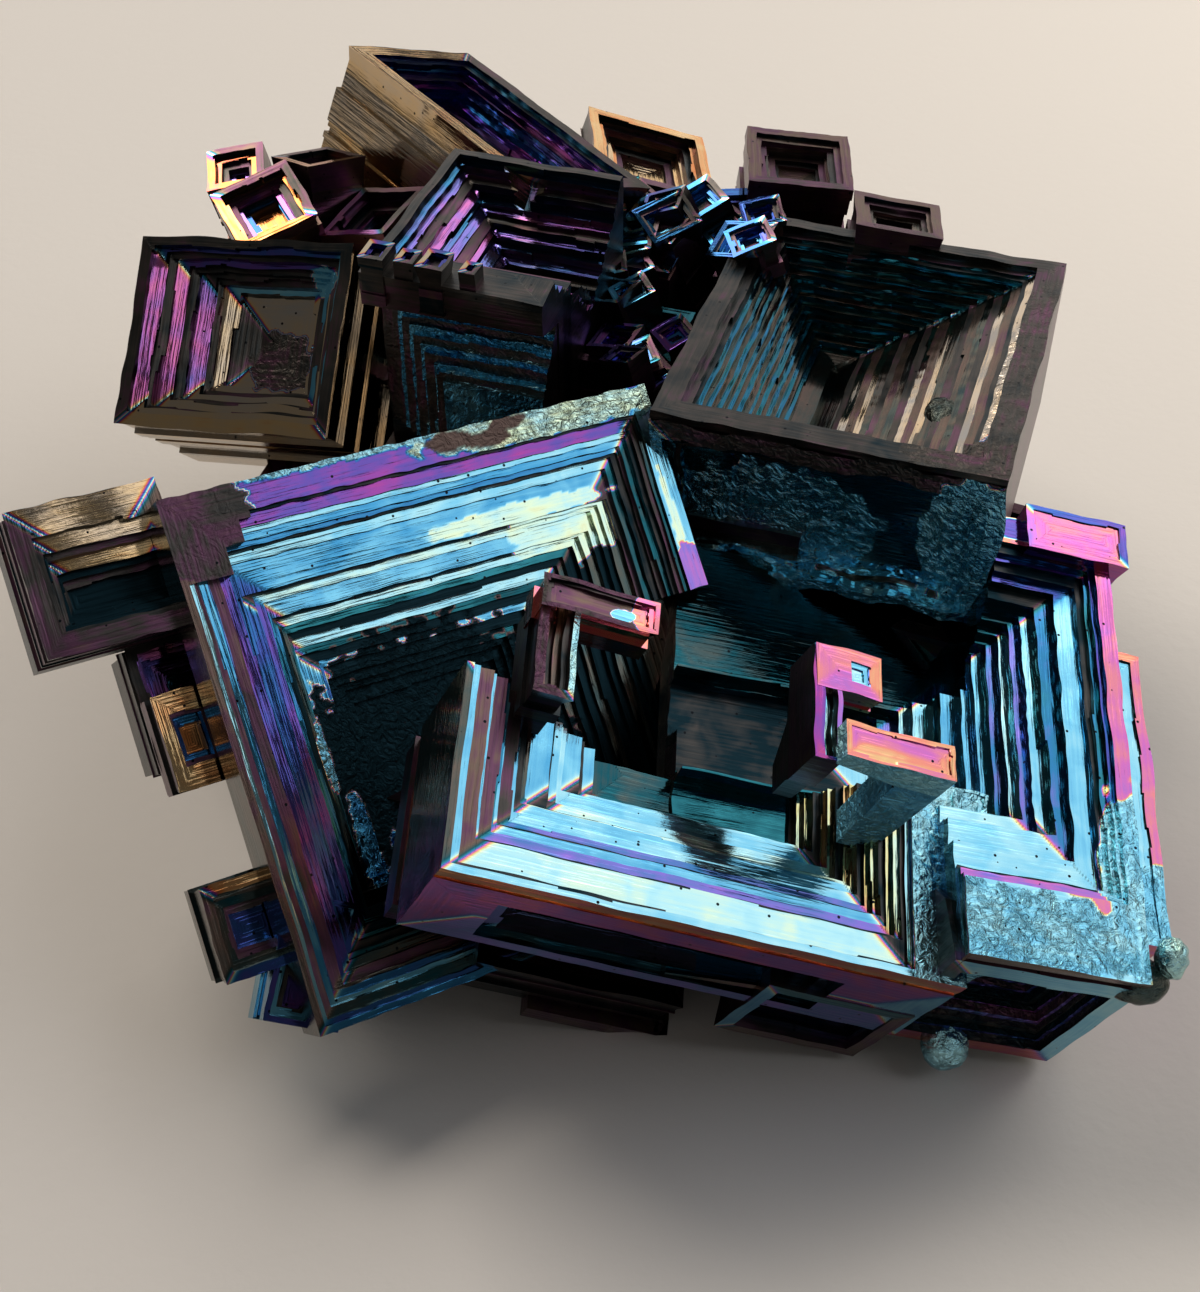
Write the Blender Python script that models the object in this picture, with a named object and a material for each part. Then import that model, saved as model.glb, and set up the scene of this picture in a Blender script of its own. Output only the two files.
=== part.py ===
"""Bismuth hopper crystal cluster, about 75 mm across.

Molten bismuth cools into square crystals whose edges grow faster than their
faces, so each face is left as a flight of square steps going down into it. The
crystals of this cluster grew through one another and are one piece of metal.

Each crystal has a frame of its own: X along the width, Y along the height and
Z out of the front face, with the frame's origin in the middle of that face. A
crystal is one or more blocks that go down from the front face, with stepped
pits cut into it, and ribs that were left standing after its pits.

The origin of the cluster is on the surface that it rests on, with +Z up and the
large open hoppers facing -Y. Sizes are in millimetres and turns in degrees.
"""

from math import radians

import bmesh
import bpy
from mathutils import Euler, Matrix, Vector

MILLIMETRE = 0.001

# The three ways in which the large crystals are turned.
LEFT_TURN = (44, 5, 29)
FRONT_TURN = (16, 22, 2)
LEVEL_TURN = (0, 0, -18)

# How a pit is turned to face forward, back, left or right instead of up.
FACING_FORWARD = (90, 0, 0)
FACING_BACK = (-90, 0, 0)
FACING_LEFT = (0, -90, 0)
FACING_RIGHT = (0, 90, 0)

# How far a pit's plug stands out of the face that it cuts.
OVERCUT = 1.5

# The tread of a side where the steps run out past the crystal's edge.
OPEN = 0.05

# The room above the surface that the cluster rests on.
FLOOR_ROOM = (140, 140, 60)

BISMUTH_COLOUR = (0.09, 0.16, 0.22, 1.0)
BISMUTH_ROUGHNESS = 0.22


def clear_scene():
    """Remove every object, so that only the cluster is left."""
    for thing in list(bpy.data.objects):
        bpy.data.objects.remove(thing, do_unlink=True)


def bismuth():
    """Oxide-tinted bismuth: a metal with a dark blue film."""
    material = bpy.data.materials.new("oxidised_bismuth")
    material.use_nodes = True
    shader = material.node_tree.nodes["Principled BSDF"]
    shader.inputs["Base Color"].default_value = BISMUTH_COLOUR
    shader.inputs["Metallic"].default_value = 1.0
    shader.inputs["Roughness"].default_value = BISMUTH_ROUGHNESS
    return material


def frame(place, turn=(0, 0, 0)):
    """The matrix of a frame whose origin is at place, turned about X, Y and Z."""
    angles = Euler([radians(angle) for angle in turn])
    return Matrix.Translation(Vector(place)) @ angles.to_matrix().to_4x4()


def new_object(name, shape):
    """Turn a bmesh into an object in the scene, with its faces pointing out."""
    bmesh.ops.recalc_face_normals(shape, faces=shape.faces)
    mesh = bpy.data.meshes.new(name)
    shape.to_mesh(mesh)
    shape.free()
    made = bpy.data.objects.new(name, mesh)
    bpy.context.collection.objects.link(made)
    return made


def block(width, height, depth, at=(0, 0, 0), turn=(0, 0, 0)):
    """A block that goes down by its depth from a front face centred at a place."""
    shape = bmesh.new()
    bmesh.ops.create_cube(shape, size=1.0)
    size = Matrix.Diagonal((width, height, depth, 1.0))
    placed = frame(at, turn) @ frame((0, 0, -depth / 2)) @ size
    bmesh.ops.transform(shape, matrix=placed, verts=shape.verts)
    return new_object("block", shape)


def nodule(radius, at):
    """A round bead of metal that froze as it ran off the crystal."""
    shape = bmesh.new()
    bmesh.ops.create_icosphere(shape, subdivisions=2, radius=radius, matrix=frame(at))
    return new_object("nodule", shape)


def corners_of(edges):
    """The four corners of a rectangle given by its left, right, bottom and top edges."""
    left, right, bottom, top = edges
    return [(left, bottom), (right, bottom), (right, top), (left, top)]


def narrowed(edges, tread):
    """A rectangle's edges, each brought in by its own tread."""
    return (edges[0] + tread[0], edges[1] - tread[1], edges[2] + tread[2], edges[3] - tread[3])


def stair(edges, tread, rise, steps):
    """The rectangles, with their levels, that a flight of square steps turns at."""
    turns = [(edges, OVERCUT)]
    for step in range(1, steps + 1):
        turns.append((edges, -step * rise))
        edges = narrowed(edges, tread)
        turns.append((edges, -step * rise))
    turns.append((edges, -(steps + 1) * rise))
    return turns


def stepped_plug(edges, tread, rise, steps):
    """The metal that is missing from a pit.

    edges are the left, right, bottom and top edges of its mouth, and tread is how
    far each of the four comes in at every step down.
    """
    shape = bmesh.new()
    rings = [
        [shape.verts.new((x, y, level)) for x, y in corners_of(turn)]
        for turn, level in stair(edges, tread, rise, steps)
    ]
    for upper, lower in zip(rings, rings[1:]):
        for side in range(4):
            after = (side + 1) % 4
            shape.faces.new((upper[side], upper[after], lower[after], lower[side]))
    shape.faces.new(rings[0])
    shape.faces.new(rings[-1])
    return new_object("plug", shape)


def combine(target, other, operation):
    """Join another object into the target, or cut it out of the target, and use it up."""
    other.hide_render = True
    other.display_type = "WIRE"
    modifier = target.modifiers.new(operation.lower(), "BOOLEAN")
    modifier.operation = operation
    modifier.object = other
    graph = bpy.context.evaluated_depsgraph_get()
    result = bpy.data.meshes.new_from_object(target.evaluated_get(graph))
    target.modifiers.clear()
    target.data = result
    bpy.data.objects.remove(other, do_unlink=True)
    return target


def pit(edges, tread, rise, steps, at=(0, 0, 0), turn=(0, 0, 0)):
    """A stepped pit in the face whose frame is given inside the crystal's own frame."""
    plug = stepped_plug(edges, tread, rise, steps)
    plug.data.transform(frame(at, turn))
    return plug


def crystal(place, turn, blocks, pits=(), ribs=()):
    """One crystal: its blocks joined, its pits cut, then its ribs added."""
    body = blocks[0]
    for more in blocks[1:]:
        combine(body, more, "UNION")
    for plug in pits:
        combine(body, plug, "DIFFERENCE")
    for rib in ribs:
        combine(body, rib, "UNION")
    body.data.transform(frame(place, turn))
    return body


def left_hopper():
    """The large square hopper at the left, whose lower right side never closed."""
    return crystal(
        place=(-6.6, -4.0, 18.0),
        turn=LEFT_TURN,
        blocks=[block(33, 32.5, 4), block(27, 25, 12, at=(1.5, 3, -1))],
        pits=[pit((-13, 20, -13, 13.5), tread=(1.7, OPEN, 1.8, 1.7), rise=1.3, steps=6)],
        ribs=[block(3, 14, 5, at=(15, 9.2, -0.3))],
    )


def left_side_crystals():
    """Smaller crystals on the hidden side of the large left hopper."""
    upper = crystal(
        place=(-29.0, -3.6, 27.6),
        turn=LEFT_TURN,
        blocks=[block(9, 8.9, 7)],
        pits=[pit((-3.2, 4.0, -3.4, 2.6), tread=(0.5, 0.4, 0.4, 0.6), rise=1.0, steps=3)],
    )
    middle = crystal(
        place=(-23.4, -4.6, 15.6),
        turn=LEFT_TURN,
        blocks=[block(9, 12.5, 7), block(4, 6, 3, at=(-1, -3, 1.2))],
        pits=[
            pit((-2.2, 0.2, -4.6, -1.4), tread=(0.4, 0.4, 0.4, 0.4), rise=0.7, steps=2, at=(0, 0, 1.2)),
        ],
    )
    lower = crystal(
        place=(-20.0, -17.4, 12.2),
        turn=LEFT_TURN,
        blocks=[block(5.6, 5.8, 5), block(4.2, 6, 3, at=(2.4, -2.6, -1.3), turn=(0, 0, -28))],
        pits=[pit((-1.9, 2.2, -1.9, 2.1), tread=(0.4, 0.4, 0.4, 0.4), rise=0.8, steps=3)],
    )
    return [upper, middle, lower]


def front_hopper():
    """The broad hopper that stands out in front, with its upper side open."""
    return crystal(
        place=(6.7, -16.4, 19.5),
        turn=FRONT_TURN,
        blocks=[block(31.4, 12.8, 8.5), block(24, 11, 11.5, at=(-3.7, 0.9, -0.5))],
        pits=[
            pit((-13.6, 12.6, -4.6, 9), tread=(1.5, 0.9, 1.1, OPEN), rise=1.15, steps=5),
            pit(
                (-9.5, 8.6, -2.6, 1.6),
                tread=(1.2, 1.2, 0.5, 0.4),
                rise=0.8,
                steps=2,
                at=(0, -6.4, -4.2),
                turn=FACING_FORWARD,
            ),
        ],
    )


def front_side_crystals():
    """The bars, hooks and plates that grew on the front hopper."""
    rear_bar = crystal(
        (0.1, -6.7, 27.6),
        FRONT_TURN,
        [block(7.2, 2.2, 3), block(2.4, 7.5, 5, at=(-2.3, -2.8, -0.4))],
    )
    hook = crystal(
        (13.9, -12.0, 24.6),
        FRONT_TURN,
        [block(1.7, 7.4, 14, at=(-1.2, 0, 0)), block(4.1, 2.8, 1.6, at=(0.1, 2.3, 0.05))],
    )
    top_bar = crystal(
        (16.7, -14.8, 23.9),
        FRONT_TURN,
        [block(6.8, 2.2, 12), block(5.2, 5.5, 8, at=(0.6, -3, -1.2))],
    )
    slab = crystal(
        (-1.0, -15.0, 6.4),
        FRONT_TURN,
        [block(13.5, 4.6, 4.4), block(9.5, 6.4, 1.6, at=(2.6, 0.2, -3.6))],
    )
    foot = crystal(
        (14.4, -17.0, 10.3),
        FRONT_TURN,
        [block(9.5, 8.2, 7.6)],
        [
            pit(
                (-3.4, 3.5, -2.4, 2.6),
                tread=(0.5, 0.5, 0.5, 0.5),
                rise=0.7,
                steps=3,
                at=(0, -4.1, -3.8),
                turn=FACING_FORWARD,
            ),
        ],
    )
    return [rear_bar, hook, top_bar, slab, foot]


def right_hopper():
    """The tall hopper at the right, with a second one under its lip.

    Its left corners never grew: the upper hopper and the front hopper stand there.
    """
    return crystal(
        place=(19.6, -7.6, 20.2),
        turn=(15, 16, 1),
        blocks=[
            block(26, 31, 13),
            block(2.6, 20, 9, at=(13.9, -2.5, -1.2)),
            block(7, 3.4, 3, at=(10.5, 14.6, 0.8)),
        ],
        pits=[
            pit((-16, 10.4, -11.2, 13.2), tread=(OPEN, 1.5, 1.2, 1.3), rise=1.4, steps=6),
            block(18.8, 10.6, 9.0, at=(-4.0, 10.7, 0.6)),
            block(15.2, 12.8, 9.0, at=(-5.9, -9.4, 0.6)),
            pit(
                (-8, 11, -4.2, 4.6),
                tread=(1.0, 1.0, 0.7, 0.7),
                rise=1.3,
                steps=4,
                at=(0, -15.5, -6.5),
                turn=FACING_FORWARD,
            ),
        ],
    )


def upper_hopper():
    """The level hopper at the upper right, which opens straight up."""
    return crystal(
        place=(18.1, 20.2, 27.9),
        turn=LEVEL_TURN,
        blocks=[block(23, 26, 12)],
        pits=[
            pit((-9.2, 7.6, -10.2, 11), tread=(0.9, 1.3, 1.0, 0.9), rise=1.2, steps=5),
            pit(
                (-9.8, 9.6, -4.3, 4.1),
                tread=(0.8, 0.8, 0.6, 0.6),
                rise=0.5,
                steps=2,
                at=(0, -13, -6),
                turn=FACING_FORWARD,
            ),
        ],
    )


def rear_hopper():
    """The cube behind the left hopper: one pit opens up, one opens forward."""
    return crystal(
        place=(-6.9, 23.3, 34.6),
        turn=LEVEL_TURN,
        blocks=[block(12.4, 17, 13.5)],
        pits=[
            pit((-5.2, 8, -5.4, 7.4), tread=(0.8, OPEN, 0.9, 0.8), rise=1.3, steps=4),
            pit(
                (-4.9, 5.0, -6.0, 3.6),
                tread=(0.8, 0.6, 0.7, 0.8),
                rise=0.7,
                steps=4,
                at=(0, -8.5, -6.5),
                turn=FACING_FORWARD,
            ),
        ],
    )


def far_left_hopper():
    """The blunt crystal at the far left of the back."""
    return crystal(
        place=(-25.3, 22.5, 26.3),
        turn=(42, -8, -17),
        blocks=[block(16.4, 13.6, 12)],
        pits=[pit((-6.2, 6.6, -4.6, 5.2), tread=(1.0, 0.8, 0.8, 0.8), rise=1.1, steps=4)],
    )


def peak_hopper():
    """The long crystal that makes the highest corner of the back."""
    return crystal(
        place=(-7.5, 41.1, 33.0),
        turn=(-21, 6, -50),
        blocks=[block(22, 12, 8)],
        pits=[pit((-9.1, 9.3, -4.6, 4.7), tread=(1.0, 1.0, 0.7, 0.7), rise=0.9, steps=4)],
    )


def back_plates():
    """The three flat-topped crystals of the back edge and the small ones before them."""
    middle = crystal(
        (4.0, 45.6, 27.5),
        (2, 19, 5),
        [block(9.6, 9.6, 6), block(7.4, 7.2, 1.4, at=(-0.6, -0.4, 0.7))],
    )
    right = crystal(
        (15.3, 44.4, 27.8),
        (4, 6, -1),
        [block(8.0, 7.4, 7), block(5.6, 5.2, 2.4, at=(1.7, -3.2, -1.4))],
    )
    end = crystal(
        (21.7, 34.6, 28.6),
        (-7, 8, -6),
        [block(6.4, 6.2, 7), block(4.2, 4.4, 3, at=(-3.2, 2.8, -0.9))],
    )
    small = [
        crystal(
            (2.2, 33.5, 27.2),
            LEVEL_TURN,
            [block(8, 7, 6)],
            [pit((-2.9, 3, -2.4, 2.5), (0.5, 0.5, 0.5, 0.5), 0.8, 3)],
        ),
        crystal(
            (9.6, 38.6, 26.2),
            (12, 8, 20),
            [block(7, 6, 6)],
            [pit((-2.4, 2.5, -1.9, 2), (0.5, 0.5, 0.4, 0.4), 0.8, 2)],
        ),
        crystal(
            (1.2, 24.0, 25.6),
            LEVEL_TURN,
            [block(9, 8, 5)],
            [pit((-3.3, 3.2, -2.8, 2.9), (0.6, 0.6, 0.6, 0.6), 0.9, 3)],
        ),
    ]
    return [middle, right, end] + small


def left_bud_crystals():
    """The cubes that grew in a heap between the far left hopper and the peak."""
    return [
        crystal((-24.0, 33.0, 30.4), (20, -12, 25), [block(6, 6, 6)]),
        crystal((-20.6, 38.4, 31.2), (-14, 10, 40), [block(5, 5, 6)]),
        crystal((-26.6, 37.4, 31.0), (25, 14, 5), [block(4.2, 4.2, 5)]),
        crystal((-16.4, 33.4, 29.6), (8, 16, -30), [block(6, 6, 6)]),
    ]


def heart():
    """The older crystals that the rest grew out of, with the flat that they rest on."""
    middle = crystal((3.0, 24.0, 21.0), LEVEL_TURN, [block(32, 30, 24)])
    front = crystal((3.0, 0.5, 7.0), LEVEL_TURN, [block(27, 17, 10)])
    left = crystal((-9.5, 4.5, 14.0), LEVEL_TURN, [block(19, 20, 17)])
    left_low = crystal(
        (-17.0, 19.0, 13.5),
        LEVEL_TURN,
        [block(18, 22, 16)],
        [pit((-3.4, 4.4, -7.6, 7.8), (0.6, 0.6, 0.9, 0.9), 0.9, 3, at=(-9, 0, -7.2), turn=FACING_LEFT)],
    )
    left_high = crystal((-19.0, 31.0, 21.5), (6, -8, 12), [block(15, 14, 14)])
    back_left = crystal(
        (-7.5, 38.5, 19.0),
        (3, -4, 8),
        [block(20, 18, 22)],
        [
            pit((-7.4, 7.2, -6.4, 7.2), (0.9, 0.9, 0.8, 0.8), 1.1, 4, at=(0, 9, -8.5), turn=FACING_BACK),
            pit((-6.0, 6.6, -5.8, 5.6), (0.8, 0.8, 0.7, 0.7), 1.0, 3, at=(-10, 0, -9), turn=FACING_LEFT),
        ],
    )
    back_right = crystal(
        (15.5, 35.0, 20.5),
        (-3, 5, -24),
        [block(20, 19, 24)],
        [
            pit((-7.2, 7.4, -6.8, 7.4), (0.9, 0.9, 0.9, 0.9), 1.2, 4, at=(0, 9.5, -9.5), turn=FACING_BACK),
            pit((-6.6, 6.8, -7.0, 6.6), (0.8, 0.8, 0.9, 0.9), 1.1, 4, at=(10, 0, -9.5), turn=FACING_RIGHT),
        ],
    )
    right_low = crystal(
        (25.0, 14.0, 13.0),
        (-4, -6, -30),
        [block(15, 18, 16)],
        [pit((-4.6, 4.2, -6.4, 6.2), (0.7, 0.7, 0.8, 0.8), 1.0, 3, at=(7.5, 0, -7), turn=FACING_RIGHT)],
    )
    return [middle, front, left, left_low, left_high, back_left, back_right, right_low]


def beads():
    """Beads of metal along the lower right edge."""
    return [
        nodule(1.6, (21.1, -19.4, 2.6)),
        nodule(1.2, (32.6, -20.6, 12.9)),
        nodule(1.6, (30.9, -20.9, 11.2)),
    ]


def cluster():
    """All the crystals as one piece, ended flat on the surface that it rests on."""
    whole = left_hopper()
    parts = heart() + left_side_crystals() + [front_hopper()] + front_side_crystals()
    parts += [right_hopper(), upper_hopper(), rear_hopper(), far_left_hopper(), peak_hopper()]
    parts += back_plates() + left_bud_crystals() + beads()
    for part in parts:
        combine(whole, part, "UNION")
    above_floor = block(*FLOOR_ROOM, at=(0, 0, FLOOR_ROOM[2]))
    combine(whole, above_floor, "INTERSECT")
    whole.name = "bismuth_cluster"
    whole.data.name = "bismuth_cluster"
    whole.data.transform(Matrix.Scale(MILLIMETRE, 4))
    whole.data.materials.clear()
    whole.data.materials.append(bismuth())
    return whole


clear_scene()
cluster()
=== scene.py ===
import bpy
import numpy as np
from math import radians
from mathutils import Euler, Matrix, Vector


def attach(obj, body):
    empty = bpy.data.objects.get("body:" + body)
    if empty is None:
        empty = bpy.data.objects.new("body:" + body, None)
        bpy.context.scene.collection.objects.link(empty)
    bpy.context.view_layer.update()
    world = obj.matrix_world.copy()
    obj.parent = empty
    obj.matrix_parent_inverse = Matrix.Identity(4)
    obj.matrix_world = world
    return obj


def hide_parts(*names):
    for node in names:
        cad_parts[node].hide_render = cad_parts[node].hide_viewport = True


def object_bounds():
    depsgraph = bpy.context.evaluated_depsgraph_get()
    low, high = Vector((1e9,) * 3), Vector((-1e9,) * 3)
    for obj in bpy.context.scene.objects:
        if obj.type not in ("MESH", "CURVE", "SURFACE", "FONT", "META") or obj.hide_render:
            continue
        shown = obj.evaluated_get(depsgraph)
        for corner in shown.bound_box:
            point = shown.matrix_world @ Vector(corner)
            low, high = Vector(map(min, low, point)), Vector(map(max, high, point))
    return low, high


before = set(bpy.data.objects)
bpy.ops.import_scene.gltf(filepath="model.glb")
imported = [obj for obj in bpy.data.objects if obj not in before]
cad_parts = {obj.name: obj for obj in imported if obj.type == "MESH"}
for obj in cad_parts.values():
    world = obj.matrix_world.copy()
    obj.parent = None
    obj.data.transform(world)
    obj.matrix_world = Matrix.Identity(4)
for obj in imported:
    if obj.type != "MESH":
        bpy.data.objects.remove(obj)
cad_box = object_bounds()
bpy.ops.object.select_all(action="DESELECT")


# ---- The table, the light and the camera -------------------------------------
# The cluster stands on a sheet of pale warm paper by a window. The paper is matt, so
# it gives a soft light from below, and the room behind the camera is dark.

MM = 0.001
PAPER = "DCD9D4"
PAPER_SIZE = 3.0
ROOM = "8C8A88"
ROOM_LIGHT = 0.40


def linear(code):
    """An sRGB hex colour as linear red, green, blue and alpha."""
    parts = [int(code[at:at + 2], 16) / 255 for at in (0, 2, 4)]
    return [p / 12.92 if p <= 0.04045 else ((p + 0.055) / 1.055) ** 2.4 for p in parts] + [1.0]


def add_node(tree, kind, links=(), **settings):
    """Add a shader node; links give each input's name or number, and where its value comes from.

    A setting that starts with in_ is an input's value, and any other is the node's own.
    """
    node = tree.nodes.new(kind)
    for name, value in settings.items():
        if name.startswith("in_"):
            key = name[3:]
            node.inputs[int(key) if key.isdigit() else key.replace("_", " ")].default_value = value
        else:
            setattr(node, name, value)
    for key, source in dict(links).items():
        tree.links.new(source, node.inputs[key])
    return node


def new_material(name):
    """A material with its Principled shader, ready for a pattern on Object coordinates."""
    material = bpy.data.materials.new(name)
    material.use_nodes = True
    tree = material.node_tree
    shader = tree.nodes["Principled BSDF"]
    place = tree.nodes.new("ShaderNodeTexCoord").outputs["Object"]
    return material, tree, shader, place


bpy.ops.mesh.primitive_plane_add(size=PAPER_SIZE, location=(0, 0.4, 0))
paper = bpy.context.object
paper.name = "paper"
paper.data.name = "paper"
# Uncoated paper with the fine mark of the felt that pressed it.
material, tree, shader, place = new_material("uncoated_paper")
felt = add_node(tree, "ShaderNodeTexNoise", {"Vector": place}, in_Scale=900.0, in_Detail=4.0)
bump = add_node(
    tree, "ShaderNodeBump", {"Height": felt.outputs[0]}, in_Strength=0.12, in_Distance=0.3 * MM
)
tree.links.new(bump.outputs[0], shader.inputs["Normal"])
shader.inputs["Base Color"].default_value = linear(PAPER)
shader.inputs["Roughness"].default_value = 0.85
shader.inputs["Specular IOR Level"].default_value = 0.2
paper.data.materials.append(material)

world = bpy.data.worlds.new("room")
bpy.context.scene.world = world
world.use_nodes = True
world.node_tree.nodes["Background"].inputs["Color"].default_value = linear(ROOM)
world.node_tree.nodes["Background"].inputs["Strength"].default_value = ROOM_LIGHT


def softbox(name, azimuth, elevation, distance, width, height, watts, colour):
    """A rectangular soft light that looks at the cluster from an azimuth and elevation in degrees."""
    light = bpy.data.lights.new(name, "AREA")
    light.shape = "RECTANGLE"
    light.size = width
    light.size_y = height
    light.energy = watts
    light.color = linear(colour)[:3]
    lamp = bpy.data.objects.new(name, light)
    bpy.context.scene.collection.objects.link(lamp)
    turn, lift = radians(azimuth), radians(elevation)
    away = Vector((np.cos(turn) * np.cos(lift), np.sin(turn) * np.cos(lift), np.sin(lift)))
    lamp.location = away * distance
    lamp.rotation_euler = (-away).to_track_quat("-Z", "Y").to_euler()
    return lamp


# Each is a name, an azimuth, an elevation, then distance, width and height in metres, watts
# and colour.
softbox("window", 132, 48, 0.9, 0.55, 0.45, 5.1, "FFF3E6")
softbox("side_window", 8, 48, 0.7, 0.75, 0.42, 1.55, "F4F7FF")
# Dim panes that show in the metal and are too weak to tell on the paper.
for pane in (
    softbox("far_window", 50, 38, 0.6, 0.35, 0.35, 0.45, "FFF6EC"),
    softbox("back_strip", 92, 20, 0.6, 0.95, 0.16, 0.60, "FFF6EC"),
    softbox("back_sky", 90, 45, 0.8, 0.9, 0.5, 1.15, "F2F6FF"),
    softbox("overhead", 262, 62, 0.6, 0.25, 0.25, 0.25, "FFFFFF"),
    softbox("front_card", 270, 9, 0.6, 0.9, 0.14, 0.35, "F4F4FF"),
):
    pane.visible_diffuse = False
# A card beside the table that lights the paper and is too low to show in the metal.
card = softbox("card", 36, 36, 0.24, 0.2, 0.2, 0.2, "FFF1DE")
card.visible_glossy = False

# The lens follows from its focal length in pixels, for a picture this many pixels high.
SENSOR = 36.0
LENS_PIXELS = 1900
PICTURE_PIXELS = 1292
CAMERA_AT = (0, -87.7 * MM, 99.8 * MM)
CAMERA_TILT = 47
camera = bpy.data.objects.new("camera", bpy.data.cameras.new("camera"))
bpy.context.scene.collection.objects.link(camera)
camera.data.sensor_width = SENSOR
camera.data.lens = SENSOR * LENS_PIXELS / PICTURE_PIXELS
camera.data.clip_start = 5 * MM
camera.location = CAMERA_AT
camera.rotation_euler = (radians(CAMERA_TILT), 0, 0)
bpy.context.scene.camera = camera
bpy.context.scene.view_settings.view_transform = "Standard"


# ---- The large hopper at the left --------------------------------------------
# A square bismuth crystal whose edges outgrew its face, so that the face is a flight of
# square terraces going down to one side. It froze in the air, and the oxide film that
# grew on it while hot is thin enough to colour each terrace by its own thickness.

# The colours of the film on bright bismuth, in the order of its thickness in nanometres.
FILM_COLOURS = (
    (0, "A8A39C"), (22, "C8A878"), (32, "C4743C"), (40, "AC4A5E"), (47, "8A3E86"),
    (54, "5C468E"), (62, "3A4E92"), (70, "2C6290"), (80, "3F88AE"), (90, "6CAEC4"),
    (100, "9CC8CA"), (108, "C2D2B0"), (116, "C8B878"), (126, "CC7C68"), (136, "B4609C"),
    (146, "7464B0"), (156, "2F6E98"), (166, "2A6C74"), (178, "184850"), (188, "484C46"),
    (196, "66544A"), (202, "5C3C50"), (207, "44403C"), (216, "12242A"),
)
# Any thicker film is as dark as this. The teal-black at this end of the ramp is painted shade: the
# tables below give it to thin treads in the grooves between terraces and to deep levels and hollows.
THICKEST = 216.0
# The colour of the painted shade in the pits of gas.
PIT_SHADE = "15171A"
FLUX = "6B5650"

# Bright bismuth under its oxide film, with wrinkled skins of melt and crusts of flux.
bismuth, tree, shader, place = new_material("oxide_tinted_bismuth")
film, skin, crust, grain = (
    add_node(tree, "ShaderNodeAttribute", attribute_name=label)
    for label in ("film", "skin", "crust", "grain")
)
# Fine growth lines run along each terrace, some 0.2 mm apart and 5 mm long.
drawn_out = add_node(
    tree, "ShaderNodeVectorMath", {0: grain.outputs["Vector"]},
    operation="MULTIPLY", in_1=(0.2, 4.5, 1.0),
)
lines = add_node(
    tree, "ShaderNodeTexNoise", {"Vector": drawn_out.outputs[0]}, in_Scale=1.0, in_Detail=3.0
)
# The film is a few nanometres thicker or thinner in drifts some 2 mm across.
drift = add_node(
    tree, "ShaderNodeTexNoise", {"Vector": place}, in_Scale=420.0, in_Detail=2.0, in_Distortion=0.6
)
sway = add_node(
    tree, "ShaderNodeMath", {0: drift.outputs[0]}, operation="MULTIPLY_ADD", in_1=20.0, in_2=-15.5
)
lined = add_node(
    tree, "ShaderNodeMath", {0: lines.outputs[0], 2: sway.outputs[0]},
    operation="MULTIPLY_ADD", in_1=11.0,
)
thick = add_node(
    tree, "ShaderNodeMath", {0: film.outputs["Fac"], 1: lined.outputs[0]}, operation="ADD"
)
share = add_node(tree, "ShaderNodeMath", {0: thick.outputs[0]}, operation="DIVIDE", in_1=THICKEST)
ramp = add_node(tree, "ShaderNodeValToRGB", {"Fac": share.outputs[0]})
stops = ramp.color_ramp.elements
while len(stops) > 1:
    stops.remove(stops[0])
stops[0].position = 0.0
stops[0].color = linear(FILM_COLOURS[0][1])
for nanometres, code in FILM_COLOURS[1:]:
    stops.new(nanometres / THICKEST).color = linear(code)
# Painted shade: dark dots 0.1 mm across stand for the shade in pits of gas, which are not modelled.
gas = add_node(tree, "ShaderNodeTexVoronoi", {"Vector": place}, in_Scale=900.0)
shade_in_pits = add_node(
    tree, "ShaderNodeMath", {0: gas.outputs["Distance"]}, operation="LESS_THAN", in_1=0.085
)
with_pit_shade = add_node(
    tree, "ShaderNodeMix", {0: shade_in_pits.outputs[0], 6: ramp.outputs[0]},
    data_type="RGBA", in_7=linear(PIT_SHADE),
)
# Grey-brown flux that dried as a crust, which isn't metal.
caked = add_node(
    tree, "ShaderNodeMix", {0: crust.outputs["Fac"], 6: with_pit_shade.outputs[2]},
    data_type="RGBA", in_7=linear(FLUX),
)
tree.links.new(caked.outputs[2], shader.inputs["Base Color"])
bare = add_node(
    tree, "ShaderNodeMath", {1: crust.outputs["Fac"]}, operation="SUBTRACT", in_0=1.0
)
tree.links.new(bare.outputs[0], shader.inputs["Metallic"])
# Bright terraces, duller under a skin, and duller still where the film is past 190 nanometres.
clean = add_node(
    tree, "ShaderNodeMath", {0: skin.outputs["Fac"]}, operation="MULTIPLY_ADD", in_1=0.14, in_2=0.09
)
aged = add_node(
    tree, "ShaderNodeMapRange", {0: film.outputs["Fac"]}, in_1=186.0, in_2=198.0, in_3=0.0, in_4=0.22
)
dull = add_node(tree, "ShaderNodeMath", {0: clean.outputs[0], 1: aged.outputs[0]}, operation="ADD")
duller = add_node(
    tree, "ShaderNodeMath", {0: crust.outputs["Fac"], 2: dull.outputs[0]},
    operation="MULTIPLY_ADD", in_1=0.6,
)
tree.links.new(duller.outputs[0], shader.inputs["Roughness"])
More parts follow.
